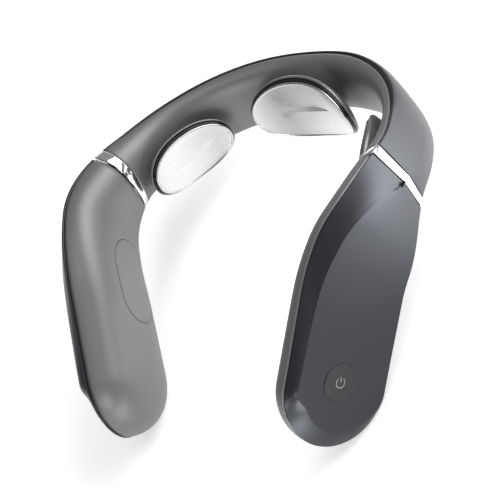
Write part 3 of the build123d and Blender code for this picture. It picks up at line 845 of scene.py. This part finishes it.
def head_cup(name):
    """Cup behind the plate, closing in a hollow cone down to its neck."""
    neck = neck_radius
    profile = [(0.55, 3.0, 1, 0, 0), (0.55, 2.5, 1, 0, 0), (0.7, 2.25, 1, 0, 0), (0.95, 2.2, 1, 0, 0)]
    profile += [(1.2, 2.35, 1, 0, 0), (1.3, 2.7, 1, 0, 0), (1.2, 3.4, 0.97, 0, 0)]
    profile += [(0.7, 4.0, 0.9, neck, 0.05), (0.2, 4.4, 0.8, neck, 0.14), (0, 4.8, 0.62, neck, 0.3)]
    profile += [(0, 5.1, 0.42, neck, 0.5), (0, 5.45, 0.22, neck, 0.72), (0, 5.8, 0.08, neck, 0.9)]
    profile += [(0, 6.15, 0, neck, 1), (0, 6.25, 0, neck - 0.15, 1)]
    piece = oval_loft(name, profile, f"{name}_cup")
    thicken(piece, 0.5)
    finish_piece(piece, f"{name}_head", CUP, "head_cup", f"{name}_head_cup")


def bellows(name):
    """Two rings between the cup's neck and the mound of the band."""
    top = 6.3
    foot = face_depth(name)
    length = foot - 0.9 - top
    sunk = foot + 0.8
    profile = []
    for t in np.linspace(0, 1, 41):
        ribbed = max(t - 0.28, 0) / 0.72
        wave = 0.55 * abs(math.sin(2 * math.pi * ribbed)) ** 0.7
        step = 0.7 * smooth(t, 0.28, 0.36)
        profile.append((0, top + length * t, 0, 4.5 + step + wave + 1.3 * ribbed, 1))
    profile += [(0, sunk, 0, 6.4, 1), (0, sunk, 0, 4.6, 1)]
    piece = oval_loft(name, profile, f"{name}_bellows_skin")
    finish_piece(piece, "bridge", SILICONE, "bellows_rubber", f"{name}_bellows")
    spot, axes = head_frame(name)
    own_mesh(piece)


for name in HEADS:
    electrode_plate(name)
    insulating_ring(name)
    head_cup(name)
    bellows(name)


# ------------------------------------------------------------------ power button
button_station = 181.0
button_rise = 1.0
button_radius = 7.4
button_play = 0.15


def button_frame():
    """Middle of the button's face in mm and its directions, the last one facing out."""
    step = 2.0
    above = button_rise + step
    depth = -panel_depth(button_station, button_rise) - panel_crown
    near = place(button_station, button_rise, depth)
    up = place(button_station, above, -panel_depth(button_station, above) - panel_crown)
    on = place(button_station + step, button_rise, depth)
    rise = (up - near) / np.linalg.norm(up - near)
    along = on - near
    along = along - rise * along.dot(rise)
    along /= np.linalg.norm(along)
    axes = np.array([along, rise, np.cross(along, rise)]).T
    if axes[0, 2] < 0:
        axes = axes * np.array([1, 1, -1])
    return near / MM, axes


def disc_rings(rings, title, segments=96):
    spot, axes = button_frame()
    angle = np.linspace(0, 2 * math.pi, segments, endpoint=False)
    rows = []
    for radius, height in rings:
        local = np.c_[radius * np.cos(angle), radius * np.sin(angle), np.full(segments, height)]
        rows.append((spot + local @ axes.T) * MM)
    piece = grid_object(title, np.array(rows), wrap=True, close_start=True, close_end=True)
    return weld(piece)


def power_button():
    """Slightly dished cap, with a flange under the shell."""
    r = button_radius
    flange = r + 0.6
    rings = [(flange, -1.6), (flange, -1.2), (r, -1.2), (r, 0.12), (r - 0.1, 0.2), (r - 0.3, 0.22)]
    rings += [(6.0, 0.16), (4.0, 0.08), (2.0, 0.05), (0.6, 0.04)]
    piece = disc_rings(rings, "button_cap")
    finish_piece(piece, "power_button", BUTTON, "button_cap", "power_button")


def cut_button_hole(shell):
    """Opens the shell round the cap, so that the cap shows when it is pressed in."""
    hole = button_radius + button_play
    tool = disc_rings([(hole, -2.6), (hole, 3.0)], "button_hole")
    cut = shell.modifiers.new("button_hole", "BOOLEAN")
    cut.operation = "DIFFERENCE"
    cut.object = tool
    bpy.context.view_layer.update()
    ready = shell.evaluated_get(bpy.context.evaluated_depsgraph_get())
    mesh = bpy.data.meshes.new_from_object(ready)
    mesh.set_sharp_from_angle(angle=math.radians(35))
    shell.modifiers.clear()
    shell.data = mesh
    bpy.data.objects.remove(tool)


def power_symbol():
    """Open circle with a bar in its gap, as a thin raised print."""
    spot, axes = button_frame()
    lift, thick, width, radius = 0.07, 0.03, 0.42, 1.95
    angle = np.linspace(math.radians(215), math.radians(505), 61)
    strokes = [[(radius * math.cos(a), radius * math.sin(a)) for a in angle]]
    strokes.append([(-t, 0.0) for t in np.linspace(0.3, 2.4, 9)])
    verts, faces = [], []
    for stroke in strokes:
        path = np.array(stroke)
        along = np.gradient(path, axis=0)
        along /= np.linalg.norm(along, axis=1)[:, None]
        normal = np.c_[-along[:, 1], along[:, 0]] * width / 2
        base = len(verts)
        for point, side_step in zip(path, normal):
            for across, height in ((1, lift), (-1, lift), (-1, lift + thick), (1, lift + thick)):
                local = np.array([*(point + across * side_step), height])
                verts.append((spot + axes @ local) * MM)
        for i in range(len(path) - 1):
            for j in range(4):
                a, b = base + 4 * i + j, base + 4 * i + (j + 1) % 4
                faces.append((a, b, b + 4, a + 4))
        last = base + 4 * (len(path) - 1)
        faces += [(base + 3, base + 2, base + 1, base), (last, last + 1, last + 2, last + 3)]
    piece = weld(mesh_object("button_mark", verts, faces), 0.000001)
    finish_piece(piece, "power_button", MARK, "button_cap")


power_button()
cut_button_hole(bpy.data.objects["right_outer_face"])
power_symbol()


# ------------------------------------------------------------------ stage
def soft_box(name, spot, target, size, power):
    light = bpy.data.lights.new(name, "AREA")
    light.shape = "RECTANGLE"
    light.size, light.size_y = size
    light.energy = power
    lamp = bpy.data.objects.new(name, light)
    lamp.location = spot
    lamp.rotation_euler = (Vector(target) - Vector(spot)).to_track_quat("-Z", "Y").to_euler()
    bpy.context.collection.objects.link(lamp)


def from_side(azimuth, elevation, distance):
    """Where a light goes and what it points at; azimuth 0 is in front and 90 to the right."""
    a, e = math.radians(azimuth), math.radians(elevation)
    aim = Vector((0, 0, 0.03))
    step = Vector((math.sin(a) * math.cos(e), -math.cos(a) * math.cos(e), math.sin(e)))
    return aim + step * distance, aim


floor_glow = 0.42
# Brighter patches of the floor, which the arm, its tip and a plate reflect: x, y, reach (m), strength.
GLOWS = [(0.2, 0.08, 0.16, 9.0), (0.1, -0.24, 0.16, 9.0), (0.0, 0.03, 0.07, 1.2)]


def floor():
    mesh = bpy.data.meshes.new("floor")
    reach = 3.0
    corners = [(-reach, -reach, 0), (reach, -reach, 0), (reach, reach, 0), (-reach, reach, 0)]
    mesh.from_pydata(corners, [], [(0, 1, 2, 3)])
    ground = bpy.data.objects.new("floor", mesh)
    bpy.context.collection.objects.link(ground)
    n = Nodes("PaleFloor")
    pale = n.colours(n.noise(6, 2), (0.86, 0.86, 0.86), (0.9, 0.9, 0.9))
    n.link(pale, n.shader.inputs["Base Color"])
    n.set(Roughness=0.7, Emission_Color=(1, 1, 1, 1))
    total = None
    for x, y, reach_out, strength in GLOWS:
        away = n.add("ShaderNodeVectorMath", operation="DISTANCE")
        away.inputs[1].default_value = (x, y, 0)
        n.link(n.position(), away.inputs[0])
        glow = n.add("ShaderNodeMapRange", interpolation_type="SMOOTHSTEP")
        glow.inputs["From Max"].default_value = reach_out
        glow.inputs["To Min"].default_value = strength
        glow.inputs["To Max"].default_value = 0.0
        n.link(away.outputs["Value"], glow.inputs["Value"])
        both = n.add("ShaderNodeMath", operation="ADD")
        both.inputs[1].default_value = floor_glow
        if total:
            n.link(total, both.inputs[1])
        n.link(glow.outputs["Result"], both.inputs[0])
        total = both.outputs["Value"]
    n.link(total, n.shader.inputs["Emission Strength"])
    mesh.materials.append(n.material)


def world():
    sky = bpy.data.worlds.new("studio")
    bpy.context.scene.world = sky
    sky.use_nodes = True
    background = sky.node_tree.nodes["Background"]
    background.inputs["Color"].default_value = (1, 1, 1, 1)
    background.inputs["Strength"].default_value = 0.28


def camera():
    """Long lens from the right, above and a little in front, turned so that the arch opens down."""
    right = Vector((0.72968, 0.28169, -0.62307))
    up = Vector((-0.00141, 0.91183, 0.41058))
    back = right.cross(up)
    centre_mm = Vector((1127.77, -506.7, 1083.14))
    spot = (centre_mm + Vector(SHIFT)) * MM
    lens = bpy.data.cameras.new("camera")
    lens.sensor_width = 36.0
    lens.lens = 4239.9 * 36.0 / 500
    lens.clip_end = 20
    eye = bpy.data.objects.new("camera", lens)
    turn = Matrix((right, up, back)).transposed().to_4x4()
    eye.matrix_world = Matrix.Translation(spot) @ turn
    bpy.context.collection.objects.link(eye)
    bpy.context.scene.camera = eye


floor()
world()
camera()
soft_box("key", *from_side(142, 34, 1.3), (1.6, 1.0), 22)
soft_box("front", *from_side(15, 24, 1.2), (0.5, 0.4), 4)
soft_box("top", *from_side(60, 84, 1.4), (0.7, 0.7), 3)
bpy.context.scene.view_settings.view_transform = "Standard"
